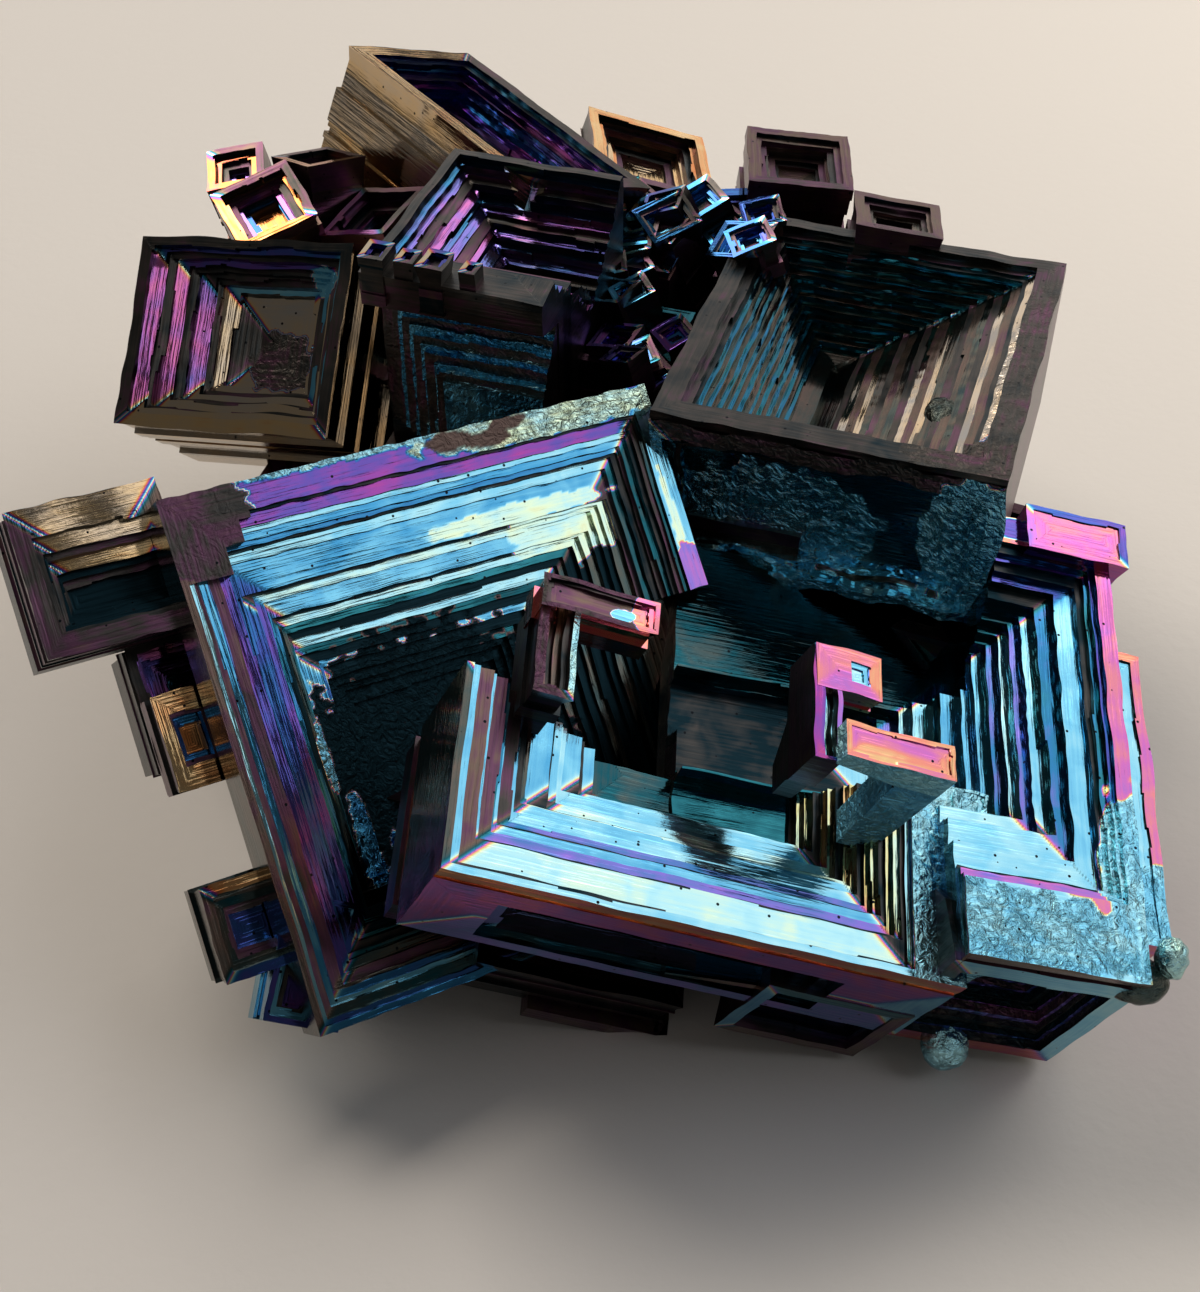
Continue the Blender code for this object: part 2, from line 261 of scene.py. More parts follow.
# The skin and the crust are wrinkled every 0.6 mm, and the terraces are all but flat.
wrinkle = add_node(
    tree, "ShaderNodeTexNoise", {"Vector": place}, in_Scale=1300.0, in_Detail=4.0, in_Distortion=1.6
)
rough = add_node(
    tree, "ShaderNodeMath", {0: skin.outputs["Fac"], 1: crust.outputs["Fac"]}, operation="ADD"
)
depth = add_node(
    tree, "ShaderNodeMath", {0: rough.outputs[0]}, operation="MULTIPLY_ADD", in_1=0.9, in_2=0.012
)
relief = add_node(
    tree, "ShaderNodeBump", {"Height": wrinkle.outputs[0], "Strength": depth.outputs[0]},
    in_Distance=0.3 * MM,
)
ruled = add_node(
    tree, "ShaderNodeBump", {"Height": lines.outputs[0], "Normal": relief.outputs[0]},
    in_Strength=0.45, in_Distance=0.06 * MM,
)
tree.links.new(ruled.outputs[0], shader.inputs["Normal"])


def crystal_frame(place, turn, at=(0, 0, 0), facing=(0, 0, 0)):
    """The matrix of a crystal or of one of its faces, from millimetres and degrees to metres."""
    outer = Matrix.Translation(place) @ Euler([radians(a) for a in turn]).to_matrix().to_4x4()
    inner = Matrix.Translation(at) @ Euler([radians(a) for a in facing]).to_matrix().to_4x4()
    return Matrix.Scale(MM, 4) @ outer @ inner


def finish_crystal(crystal, crease=32):
    """Give a crystal its film and its creases, and let it stand for the cluster's solid."""
    crystal.data.materials.clear()
    crystal.data.materials.append(bismuth)
    bpy.ops.object.select_all(action="DESELECT")
    crystal.select_set(True)
    bpy.context.view_layer.objects.active = crystal
    bpy.ops.object.shade_smooth_by_angle(angle=radians(crease))
    crystal.select_set(False)
    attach(crystal, "root")
    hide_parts("bismuth_cluster")


def write_corners(mesh, label, values):
    """Keep a number or a vector at each corner of each face of a mesh, under a label."""
    kind, field = ("FLOAT", "value") if values.ndim == 1 else ("FLOAT_VECTOR", "vector")
    layer = mesh.attributes.new(label, kind, "CORNER")
    layer.data.foreach_set(field, values.astype(np.float32).reshape(-1))


# How long a jog is, as shares of the edge that it is on.
JOG_RUN = (0.08, 0.5)


def jogs(draw, line, reach, count):
    """How far an edge stands in or out along a line: straight runs with square jogs between them."""
    shift = np.zeros(len(line))
    for _ in range(draw.poisson(count)):
        start = draw.uniform(line[0], line[-1])
        run = draw.uniform(*JOG_RUN) * (line[-1] - line[0])
        shift[(line > start) & (line < start + run)] += draw.uniform(-1, 1) * reach
    return np.clip(shift, -reach, reach)


def ripple(draw, count, shortest, longest):
    """A smooth random surface between -1 and 1, as a function of x and y in millimetres."""
    turn = 2 * np.pi
    waves = [
        (draw.uniform(0, turn), draw.uniform(0, turn), draw.uniform(shortest, longest))
        for _ in range(count)
    ]

    def at(x, y):
        total = 0
        for way, phase, length in waves:
            total = total + np.sin((np.cos(way) * x + np.sin(way) * y) * 2 * np.pi / length + phase)
        return total / count

    return at


# The most that an edge jogs, as a share of its tread, so that two edges never cross.
MOST_JOG = 0.45


def terrace_levels(draw, xc, yc, mouth, steps, jog, cuts):
    """How many steps down each cell of a face lies, and the edges of each terrace."""
    level = np.zeros((len(xc), len(yc)), int)
    edges = [np.array(mouth, float)]
    before = steps[0][1]
    for rise, treads, films in steps:
        left, right, bottom, top = edges[-1]
        reach = MOST_JOG * np.minimum(treads, before)
        inside = xc[:, None] > left + jogs(draw, yc, reach[0], jog)[None, :]
        inside &= xc[:, None] < right + jogs(draw, yc, reach[1], jog)[None, :]
        inside &= yc[None, :] > bottom + jogs(draw, xc, reach[2], jog)[:, None]
        inside &= yc[None, :] < top + jogs(draw, xc, reach[3], jog)[:, None]
        level += inside
        edges.append(edges[-1] + np.array(treads, float) * (1, -1, 1, -1))
        before = treads
    for x0, x1, y0, y1, low in cuts:
        spot = (xc[:, None] > x0) & (xc[:, None] < x1) & (yc[None, :] > y0) & (yc[None, :] < y1)
        level[spot] = np.maximum(level[spot], low) if low else 0
    return level, edges


# The corners of a tread, of a wall across x and of a wall across y, from the grid point of
# the cell's lower left corner and upper level.
TREAD = ((0, 0, 0), (1, 0, 0), (1, 1, 0), (0, 1, 0))
WALLS = (
    ((1, 0, 0), (1, 0, 1), (1, 1, 1), (1, 1, 0)),
    ((0, 1, 0), (1, 1, 0), (1, 1, 1), (0, 1, 1)),
)


def stepped_faces(level, grid, rising):
    """A tread for each cell, and a wall wherever two cells differ in level, as grid points."""
    def quads(cells, corners):
        return np.stack([
            np.ravel_multi_index([c + way for c, way in zip(cells, corner)], grid)
            for corner in corners
        ], -1)

    i, j = np.meshgrid(np.arange(level.shape[0]), np.arange(level.shape[1]), indexing="ij")
    treads = quads((i.ravel(), j.ravel(), level.ravel()), TREAD)
    walls = []
    for low, high, corners in (
        (level[:-1, :], level[1:, :], WALLS[0]), (level[:, :-1], level[:, 1:], WALLS[1]),
    ):
        gap = np.abs(high - low)
        for down in range(gap.max()):
            i, j = np.nonzero(gap > down)
            quad = quads((i, j, np.minimum(low, high)[i, j] + down), corners)
            turned = (low[i, j] > high[i, j]) != rising
            quad[turned] = quad[turned][:, ::-1]
            walls.append(quad)
    return treads, np.concatenate(walls)


def from_edges(x, y, outline):
    """How far points lie in from the left, right, bottom and top of their terraces' outlines."""
    return np.stack([x - outline[:, 0], outline[:, 1] - x, y - outline[:, 2], outline[:, 3] - y], -1)


# The shortest and longest waves, in millimetres, of all edges together, of the edges of one
# level, and of the swell of its tread.
ALL_EDGES = (2.5, 9.0)
ONE_EDGE = (0.9, 6.0)
ONE_TREAD = (4.0, 14.0)
# How far a tread tilts, as rise over run.
MOST_TILT = 0.012


def cooled(draw, x, y, level, count, wave, swell):
    """How far points stray as the metal cools: each level's edges waver, and its tread swells."""
    stray = np.zeros((len(x), 3))
    common = [ripple(draw, 3, *ALL_EDGES) for _ in range(2)]
    for k in range(count + 1):
        own = [ripple(draw, 4, *ONE_EDGE) for _ in range(2)]
        lift, tilt = ripple(draw, 4, *ONE_TREAD), draw.uniform(-1, 1, 2) * MOST_TILT
        at = level == k
        stray[at, 0] = wave * (own[0](x[at] * 0.25, y[at]) + 1.4 * common[0](x[at] * 0.3, y[at]))
        stray[at, 1] = wave * (own[1](x[at], y[at] * 0.25) + 1.4 * common[1](x[at], y[at] * 0.3))
        stray[at, 2] = swell * lift(x[at], y[at]) + tilt[0] * x[at] * 0.3 + tilt[1] * y[at] * 0.3
    return stray


# How thick the layers that show on a crystal's sides are, about, how thick the first one is
# at least, and how far they stand in, in millimetres.
LAYER = 0.9
FIRST_LAYER = 0.5
INSETS = [0.0, 0.1, 0.25]


def layered(draw, width, height, depth):
    """The outlines of a crystal's sides: the layers that it grew in, each a little in or out."""
    outlines = []
    lines = np.sort(draw.uniform(FIRST_LAYER, depth, int(depth / LAYER) + 1))
    for top, low in zip(lines, np.append(lines[1:], depth)):
        inset = draw.choice(INSETS)
        outline = (inset - width / 2, width / 2 - inset, inset - height / 2, height / 2 - inset)
        outlines += [(outline, -top), (outline, -low)]
    return outlines


# The least that an outline hangs below the terraces at the border, and below the last one.
BELOW_BORDER = 0.4
BELOW_LAST = 0.02


def hang_sides(level, grid, used, heights, outlines):
    """The points, the bordering faces and the other faces of the sides and the underside."""
    across, up = level.shape
    ring = [(a, 0) for a in range(across)] + [(across, b) for b in range(up)]
    ring += [(a, up) for a in range(across, 0, -1)] + [(0, b) for b in range(up, 0, -1)]
    owner = np.concatenate([level[:, 0], level[-1, :], level[::-1, -1], level[0, ::-1]])
    total, base = len(ring), len(used)
    u, v = (np.array(ring) / (across, up)).T
    border = heights[np.maximum(owner, np.roll(owner, 1))]
    points = []
    for k, ((left, right, bottom, top), low) in enumerate(outlines):
        line = np.minimum(low, border - BELOW_BORDER - BELOW_LAST * k)
        points.append(np.stack([left + (right - left) * u, bottom + (top - bottom) * v, line], -1))

    def column(at, levels):
        corners = [np.ravel_multi_index((*ring[at], k), grid) for k in levels]
        return np.searchsorted(used, corners).tolist()

    bordering = []
    for here in range(total):
        after = (here + 1) % total
        own, following, previous = owner[here], owner[after], owner[here - 1]
        down = column(after, range(max(own, following), own - 1, -1))
        back = column(here, range(own, max(own, previous) + 1))
        bordering.append([base + here, base + after] + down + back)
    strips = []
    for k in range(1, len(outlines)):
        low, high = base + k * total, base + (k - 1) * total
        for here in range(total):
            after = (here + 1) % total
            strips.append([low + here, low + after, high + after, high + here])
    last = base + (len(outlines) - 1) * total
    underside = list(range(last, last + total))[::-1]
    return np.concatenate(points), bordering, strips + [underside]


# The film of one side goes over into the next side's within this much at a corner.
FILM_BLEND = 0.15
# Walls below this many levels are deep enough for a film of their own, a dark one that is painted
# shade for the depth of the pit.
DEEP_LEVEL = 10
# The film differs this much from wall to wall, and from layer to layer of the sides.
WALL_SWAY = 9
LAYER_SWAY = 8
# A tread leans no further in than this from its edge, in millimetres.
LEAN_REACH = 2.0
# The edge of a patch strays in waves this long, in millimetres, and by this share of its
# radius, and it fades within this share.
PATCH_EDGE = (0.8, 3.0)
PATCH_STRAY = 0.25
PATCH_FADE = 0.06


def grow(
    name, matrix, size, mouth, steps, seed, cell=0.15, jog=1.2, wave=0.06, swell=0.04,
    rim_film=60, wall_film=178, deep_shade_film=None, side_film=190,
    rim_skin=0.0, side_skin=0.0, lean=(0, 0, 0, 0), cuts=(), paint=(), under=None,
):
    """A crystal with a flight of square terraces going down into its face.

    size is its width, height and depth. mouth is the first edge as left, right, bottom and
    top. Each step is its rise, its four treads and their four films or the one film of all,
    and a rise below zero makes a mound. cell is the finest jog, and wave and swell are how
    uneven edges and treads are. lean is how steeply each side's treads fall towards the
    middle. cuts are rectangles that go down to a level at least, or for level 0 stay flat.
    paint is patches of another film, skin or crust: centre, radii, first and last level, and
    the three values, or None. under is the outline below the face, as rectangles with their
    depths. Without it, the sides are the layers that the crystal grew in.
    """
    draw = np.random.RandomState(seed)
    width, height, depth = size
    count = len(steps)
    across, up = int(round(width / cell)), int(round(height / cell))
    grid = (across + 1, up + 1, count + 1)
    xs = (np.arange(across + 1) / across - 0.5) * width
    ys = (np.arange(up + 1) / up - 0.5) * height
    xc, yc = (xs[1:] + xs[:-1]) / 2, (ys[1:] + ys[:-1]) / 2
    level, edges = terrace_levels(draw, xc, yc, mouth, steps, jog, cuts)
    treads, walls = stepped_faces(level, grid, rising=steps[0][0] < 0)
    used, faces = np.unique(np.concatenate([treads, walls]), return_inverse=True)
    faces = faces.reshape(-1, 4)

    # The points of the terraces, and then those of the sides, which hang from their border.
    i, j, k = np.unravel_index(used, grid)
    heights = -np.concatenate([[0.0], np.cumsum([rise for rise, _, _ in steps])])
    outer = np.array([(-width / 2, width / 2, -height / 2, height / 2), *edges[:-1]])
    x, y, z = xs[i], ys[j], heights[k]
    inward = from_edges(x, y, outer[k])
    z = z - np.array(lean, float)[inward.argmin(1)] * inward.min(1).clip(0, LEAN_REACH) * (k > 0)
    points = np.stack([x, y, z], -1) + cooled(draw, x, y, k, count, wave, swell)
    outlines = under or layered(draw, width, height, depth)
    side_points, bordering, strips = hang_sides(level, grid, used, heights, outlines)
    points = np.concatenate([points, side_points])
    polygons = faces.tolist() + bordering + strips
    mesh = bpy.data.meshes.new(name)
    mesh.from_pydata(points.tolist(), [], polygons)

    # Each tread has its four sides' films, and each wall and each layer of a side has one.
    on_tread, on_wall = faces[:len(treads)].reshape(-1), faces[len(treads):].reshape(-1)
    cx, cy, ck = points[on_tread, 0], points[on_tread, 1], k[on_tread]
    inward = from_edges(cx, cy, outer[ck])
    weight = np.exp(-(inward - inward.min(1, keepdims=True)) / FILM_BLEND)
    films = [rim_film] + [film_of for _, _, film_of in steps]
    films = np.array([np.broadcast_to(four, 4) for four in films], float)
    tread_film = (weight * films[ck]).sum(1) / weight.sum(1)
    wall_level = np.repeat(k[faces[len(treads):, 0]], 4)
    wall_films = wall_film + WALL_SWAY * np.sin(1.7 * wall_level)
    # Painted shade: walls below DEEP_LEVEL take the dark deep film.
    if deep_shade_film is not None:
        wall_films[wall_level > DEEP_LEVEL] = deep_shade_film
    layer_films = side_film + draw.uniform(-LAYER_SWAY, LAYER_SWAY, len(outlines) - 1)
    film_values = np.concatenate([
        tread_film, wall_films, np.full(sum(map(len, bordering)), side_film),
        np.repeat(layer_films, 4 * len(bordering)), np.full(len(bordering), side_film),
    ])
    loops = len(film_values)
    faced = len(on_tread) + len(on_wall)
    skin_values = np.zeros(loops)
    skin_values[:len(on_tread)][ck == 0] = rim_skin
    skin_values[faced:] = side_skin
    crust_values = np.zeros(loops)
    edge = ripple(draw, 5, *PATCH_EDGE)
    every = np.concatenate([on_tread, on_wall])
    ex, ey, ek = points[every, 0], points[every, 1], k[every]
    for at_x, at_y, wide, high, (first, last), *patch in paint:
        far = np.hypot((ex - at_x) / wide, (ey - at_y) / high) + PATCH_STRAY * edge(ex, ey)
        cover = np.clip((1 + PATCH_FADE / 2 - far) / PATCH_FADE, 0, 1) * ((ek >= first) & (ek <= last))
        for values, new in zip((film_values, skin_values, crust_values), patch):
            if new is not None:
                values[:faced] += cover * (new - values[:faced])

    # The grain runs along each terrace's edge, and counts up from it.
    corners = np.concatenate(polygons)
    along = np.zeros((loops, 3))
    along[:, 0] = points[corners, 0] + points[corners, 1]
    along[:, 1] = points[corners, 2]
    along[:len(on_tread), 0] = np.where(inward.argmin(1) < 2, cy, cx)
    along[:len(on_tread), 1] = inward.min(1)
    along[:len(on_tread), 2] = ck * 3.7
    along[:, 2] += seed
    write_corners(mesh, "film", film_values)
    write_corners(mesh, "skin", skin_values)
    write_corners(mesh, "crust", crust_values)
    write_corners(mesh, "grain", along)

    # The foot is flat on the table, and no edge wavers past the solid's size.
    mesh.transform(matrix)
    placed = np.empty(3 * len(mesh.vertices), np.float32)
    mesh.vertices.foreach_get("co", placed)
    placed = placed.reshape(-1, 3).clip(np.array(cad_box[0]), np.array(cad_box[1]))
    mesh.vertices.foreach_set("co", placed.astype(np.float32).reshape(-1))
    crystal = bpy.data.objects.new(name, mesh)
    bpy.context.scene.collection.objects.link(crystal)
    finish_crystal(crystal)


def four_sides(rises, left, right, bottom, top):
    """The steps of a flight, from its rises and from each side's treads as width and film."""
    return [
        (rise, [width for width, _ in around], [film_of for _, film_of in around])
        for rise, *around in zip(rises, left, right, bottom, top)
    ]


LEFT_TURN = (44, 5, 29)
# Painted shade: the treads at 214 and past are near black, for the shade in the grooves between
# terraces, on the right inner side and in the deep levels of the pit.
LEFT_STEPS = four_sides(
    rises=(
        0.25, 0.25, 0.30, 0.25, 0.30, 0.30, 0.30, 0.35, 0.40, 0.30, 0.35, 0.35,
        0.40, 0.40, 0.40, 0.35, 0.40, 0.45, 0.40, 0.40, 0.50, 0.50, 0.50, 0.50,
    ),
    left=(
        (0.30, 96), (0.50, 202), (0.35, 82), (0.20, 154), (0.80, 202), (0.30, 54),
        (0.50, 56), (0.25, 66), (0.90, 64), (0.50, 56), (0.30, 162), (0.30, 158),
        (0.40, 224), (0.20, 188), (0.30, 182), (0.20, 164), (0.30, 82), (1.20, 79),
        (0.30, 70), (0.20, 106), (0.60, 224), (0.50, 176), (0.70, 224), (0.60, 176),
    ),
    right=(
        (0.30, 180), (0.30, 206), (0.30, 214), (0.30, 180), (0.30, 206), (0.40, 214),
        (0.40, 180), (0.40, 206), (0.50, 188), (0.50, 224), (0.50, 224), (0.50, 188),
        (0.50, 224), (0.60, 224), (0.60, 188), (0.60, 224), (0.60, 224), (0.60, 188),
        (0.60, 224), (0.60, 224), (0.60, 188), (0.60, 224), (0.60, 224), (0.60, 224),
    ),
    bottom=(
        (0.20, 66), (0.70, 182), (0.25, 90), (0.45, 70), (0.20, 188), (0.50, 202),
        (0.60, 188), (0.30, 180), (0.50, 214), (0.30, 178), (0.50, 224), (0.30, 176),
        (0.50, 224), (0.20, 180), (0.50, 224), (0.40, 178), (0.50, 224), (0.40, 180),
        (0.50, 224), (0.40, 174), (0.60, 224), (0.50, 178), (0.60, 224), (0.50, 178),
    ),
    top=(
        (0.20, 214), (0.75, 52), (0.30, 94), (0.50, 82), (0.30, 74), (0.15, 214),
        (0.60, 94), (1.90, 84), (0.15, 214), (0.45, 102), (1.00, 87), (0.15, 224),
        (0.50, 100), (0.50, 168), (0.40, 224), (0.60, 96), (0.40, 176), (0.70, 224),
        (0.40, 84), (0.70, 224), (0.60, 168), (0.50, 224), (0.70, 224), (0.60, 224),
    ),
)
grow(
    "left_hopper", crystal_frame((-6.6, -4.0, 18.0), LEFT_TURN), (33, 32.5, 4),
    (-16.05, 15.1, -15.75, 14.5), LEFT_STEPS, seed=3, cell=0.15, jog=0.5, wave=0.05,
    rim_film=(196, 88, 74, 53), wall_film=182,
    cuts=(
        (12, 17, -17, 2.5, 9), (-17, -11.4, 14.0, 17, 0), (-17, -12.2, 12.6, 17, 0),
        (-17, -13.4, 11.0, 17, 0),
    ),
    # Painted shade: the walls of the deep levels are near black.
    deep_shade_film=224,
    under=[
        ((-16.5, 16.5, -16.25, 16.25), -4), ((-12, 15, -9.5, 15.5), -4.2),
        ((-12, 15, -9.5, 15.5), -13),
    ],
    paint=(
        (-2, 16.4, 14, 0.5, (0, 0), 96, 0.6, 0),
        (6, 10.4, 6.5, 0.7, (7, 8), 105, 0, 0),
        (9.5, 9.0, 4, 2.5, (9, 13), 104, 0, 0),
        (-14.6, 14.2, 3.6, 3.3, (0, 0), 206, 0.12, 0),
        (9, 15.5, 9, 1.2, (0, 0), 104, 0.9, 0),
        (2.0, 15.6, 1.6, 0.6, (0, 1), None, 0.5, 1),
        (4.6, 15.2, 1.6, 0.5, (0, 1), None, 0.5, 1),
        (6.2, 15.9, 1.2, 0.5, (0, 1), None, 0.5, 1),
        # Painted shade: a near-black patch over the deepest levels of the pit.
        (-2, -3, 9, 9, (17, 24), 226, 0.6, 0),
        (-8.6, -7.5, 0.8, 4.0, (11, 24), 76, 0.7, 0),
        (-6.4, -9.0, 0.6, 2.4, (13, 24), 68, 0.7, 0),
        (-9.8, -1.0, 0.5, 2.6, (11, 24), 88, 0.6, 0),
        (15.6, 6, 0.3, 5, (0, 0), 106, 0, 0),
        (15.9, 3.5, 1.0, 2.2, (0, 0), 144, 0, 0),
    ),
)


# ---- The small crystals on the back of the left hopper -----------------------
# Crystals that grew out past the left hopper's edge, on the same lattice as it. They are
# solid with it, and show black pits, a straw-coloured frame round a tiny hopper, and brown sides.

def flight(count, tread, rise, films, seed, open_sides=()):
    """Plain terraces, each about so wide and high, their films in turn, and none on open sides."""
    draw = np.random.RandomState(seed)
    steps = []
    for k in range(count):
        treads = tread * draw.uniform(0.45, 1.5, 4)
        for side in open_sides:
            treads[side] = 0
        film = films[k % len(films)] + draw.uniform(-5, 5, 4)
        steps.append((rise * draw.uniform(0.7, 1.3), tuple(treads), tuple(film)))
    return steps


LOWER_PLACE = (-20.0, -17.4, 12.2)
# Painted shade: the treads at 222 and 224 and the walls at 214 are near black, for the shade in this
# crystal's hollow.
grow(
    "left_side_crystal_upper", crystal_frame((-29.0, -3.6, 27.6), LEFT_TURN), (9, 8.9, 7),
    (-3.4, 4.5, -3.3, 2.6),
    (
        (0.7, (0.4, 0, 0.3, 0.9), (209, 209, 209, 14)),
        (0.6, (0.3, 0, 0.3, 0.4), (222, 222, 222, 205)),
        (0.7, (0.4, 0, 0.3, 0.8), (207, 222, 222, 20)),
        (0.7, (0.3, 0, 0.3, 0.4), 224),
        (0.7, (0.3, 0, 0.3, 0.4), (209, 224, 224, 206)),
        (0.7, (0.3, 0.3, 0.3, 0.3), 224),
    ),
    seed=6, cell=0.12, rim_film=(206, 196, 205, 14), wall_film=214, side_film=206,
)
grow(
    "left_side_crystal_middle", crystal_frame((-23.4, -4.6, 15.6), LEFT_TURN, at=(0, 2.2, 0)),
    (9, 8.1, 7), (-3.9, 3.9, -3.5, 3.5), flight(5, 0.5, 0.4, (140, 60, 146, 84), 7), seed=8,
    cell=0.14, swell=0.12, wave=0.12, rim_film=209, wall_film=212, side_film=208,
)
grow(
    "left_side_crystal_framed", crystal_frame((-24.4, -7.6, 17.6), LEFT_TURN, at=(0, 0, 0.6)),
    (4, 6, 4.4), (-1.2, 1.0, -1.6, 1.6), flight(3, 0.3, 0.4, (204, 70, 26), 9), seed=10, cell=0.1,
    rim_film=(24, 24, 26, 24), wall_film=66, side_film=204,
)
grow(
    "left_side_crystal_lower", crystal_frame(LOWER_PLACE, LEFT_TURN), (5.6, 5.8, 5),
    (-2.2, 2.4, -2.3, 2.2), flight(4, 0.35, 0.6, (190, 186, 206, 62), 11), seed=12, cell=0.1,
    rim_film=(196, 190, 64, 28), wall_film=186, side_film=192,
)
grow(
    "left_side_crystal_foot",
    crystal_frame(LOWER_PLACE, LEFT_TURN, at=(2.6, -3.4, -1.0), facing=(0, 0, -28)), (4.6, 7.6, 4),
    (-1.9, 1.9, -3.4, 3.4), flight(3, 0.3, 0.3, (84, 206, 60), 13), seed=14, cell=0.12,
    rim_film=(60, 62, 60, 62), wall_film=206, side_film=80,
)


# ---- The broad hopper in front -----------------------------------------------
# The crystal nearest the front, whose terraces make bright blue right angles. Its upper
# side never closed, its right end is a thick folded wall under a skin of dried melt, and
# a second, shallow hopper opened in its front face.

# How a face is turned that looks forward from its crystal, and how the front crystals are.
FORWARD = (90, 0, 0)
FRONT_TURN = (16, 22, 2)
FRONT_PLACE = (6.7, -16.4, 19.5)
# Painted shade: the thin treads at 210 to 214 are near black, for the shade in the grooves between
# terraces.
FRONT_STEPS = four_sides(
    rises=(
        0.25, 0.20, 0.25, 0.30, 0.30, 0.30, 0.35, 0.35, 0.35, 0.30,
        0.40, 0.40, 0.40, 0.45, 0.50, 0.45, 0.60, 0.60, 0.70,
    ),
    left=(
        (0.40, 88), (0.90, 199), (0.20, 90), (0.80, 201), (0.25, 162), (0.25, 86), (0.80, 206),
        (0.30, 86), (0.40, 212), (0.30, 188), (1.50, 83), (0.20, 214), (0.50, 90), (0.50, 96),
        (1.20, 88), (0.25, 214), (0.90, 90), (0.30, 214), (0.80, 180),
    ),
    right=(
        (0.30, 98), (0.30, 210), (0.30, 108), (0.30, 114), (0.30, 212), (0.30, 112), (0.30, 116),
        (0.30, 212), (0.30, 114), (0.30, 118), (0.30, 212), (0.30, 112), (0.30, 116), (0.30, 212),
        (0.30, 114), (0.30, 112), (0.30, 212), (0.40, 178), (0.40, 180),
    ),
    bottom=(
        (0.25, 212), (1.70, 101), (0.15, 214), (0.70, 148), (0.70, 85), (0.15, 214), (0.60, 152),
        (0.80, 93), (0.70, 89), (0.30, 103), (0.15, 214), (0.80, 99), (0.15, 214), (1.20, 90),
        (0.15, 214), (0.50, 94), (0.30, 214), (0.50, 180), (0.40, 180),
    ),
    top=((0, 90),) * 17 + ((0, 178), (0, 180)),
)
grow(
    "front_hopper", crystal_frame(FRONT_PLACE, FRONT_TURN), (31.4, 12.8, 8.5),
    (-15.25, 12.4, -6.0, 8), FRONT_STEPS, seed=21, cell=0.11, jog=0.9, wave=0.035, swell=0.035,
    rim_film=(188, 94, 94, 92), wall_film=186, side_film=34,
    under=[
        ((-15.7, 15.7, -6.4, 6.4), -0.6), ((-15.7, 15.7, -6.2, 6.4), -2.2),
        ((-15.7, 15.7, -4.0, 6.4), -2.8), ((-15.7, 15.7, -4.0, 6.4), -8.5),
    ],
    paint=((14.4, 0, 2.4, 9.0, (0, 0), 95, 0.7, 0),),
)
grow(
    "front_hopper_column", crystal_frame(FRONT_PLACE, FRONT_TURN, at=(16.4, 0.6, 0.15)),
    (2.3, 11.4, 4), (-0.9, 0.9, -5.5, 5.5), flight(1, 0.2, 0.1, (92,), 45), seed=46, cell=0.1,
    wave=0.14, swell=0.14, rim_film=(92, 92, 93, 93), wall_film=180, side_film=92, rim_skin=0.7,
    side_skin=0.8, paint=((0, 0, 3, 9, (0, 1), 93, 0.7, 0),),
)
grow(
    "front_hopper_face",
    crystal_frame(FRONT_PLACE, FRONT_TURN, at=(0, -6.4, -4.85), facing=FORWARD), (31.4, 7.0, 2.8),
    (-11.5, 9.5, -2.6, 2.0),
    (
        (0.5, (0.8, 0.9, 0.5, 0.3), (60, 70, 88, 170)),
        (0.6, (0.9, 1.0, 1.4, 0.4), (150, 160, 152, 174)),
        (0.6, (0.5, 0.8, 0.6, 0.5), (176, 176, 176, 178)),
        (0.3, (0.5, 0.8, 0.4, 0.5), (176, 176, 176, 178)),
    ),
    seed=22, cell=0.14, wave=0.04, rim_film=(48, 86, 150, 48), wall_film=182, side_film=34,
    under=[
        ((-15.7, 15.7, -3.5, 3.5), -0.6), ((-15.7, 15.7, -3.5, 3.0), -1.8),
        ((-15.7, 15.7, -3.5, 2.0), -2.4),
    ],
)
grow(
    "front_hopper_base", crystal_frame(FRONT_PLACE, FRONT_TURN, at=(-3.7, 0.9, -8.4)),
    (24, 11, 3.6), (-11, 11, -4.6, 4.6), flight(2, 0.5, 0.3, (200,), 23), seed=24, cell=0.3,
    rim_film=200, side_film=204,
)


# ---- The bars on the broad hopper --------------------------------------------
# Bars of the same crystal that stand on the hopper's rim, where an edge grew on alone: a dull
# one on a post at the rear, a hook on its post, and one at the right end. The film on their
# tops is thick enough to be orange.

REAR_BARS = (0.1, -6.7, 27.6)
HOOK = (13.9, -12.0, 24.6)
grow(
    "front_rear_bar", crystal_frame(REAR_BARS, FRONT_TURN), (7.2, 2.2, 3), (-3.3, 3.3, -0.85, 0.85),
    flight(2, 0.25, 0.15, (206, 200), 25), seed=26, cell=0.07, swell=0.1, wave=0.05,
    rim_film=(206, 128, 204, 202), wall_film=206, side_film=128, rim_skin=0.6,
    paint=((3.0, 0, 1.0, 1.6, (0, 2), 128, 0, 0), (1.5, -0.2, 0.7, 0.5, (0, 2), 88, 0, 0)),
)
grow(
    "front_rear_post", crystal_frame(REAR_BARS, FRONT_TURN, at=(-2.3, -2.8, -0.4)), (2.4, 7.5, 5),
    (-0.7, 0.8, -3.2, 3.9), flight(3, 0.25, 0.4, (206, 198, 210), 27), seed=28, cell=0.09,
    swell=0.12, wave=0.06, rim_film=(205, 98, 204, 204), wall_film=206, side_film=205, rim_skin=0.8,
)
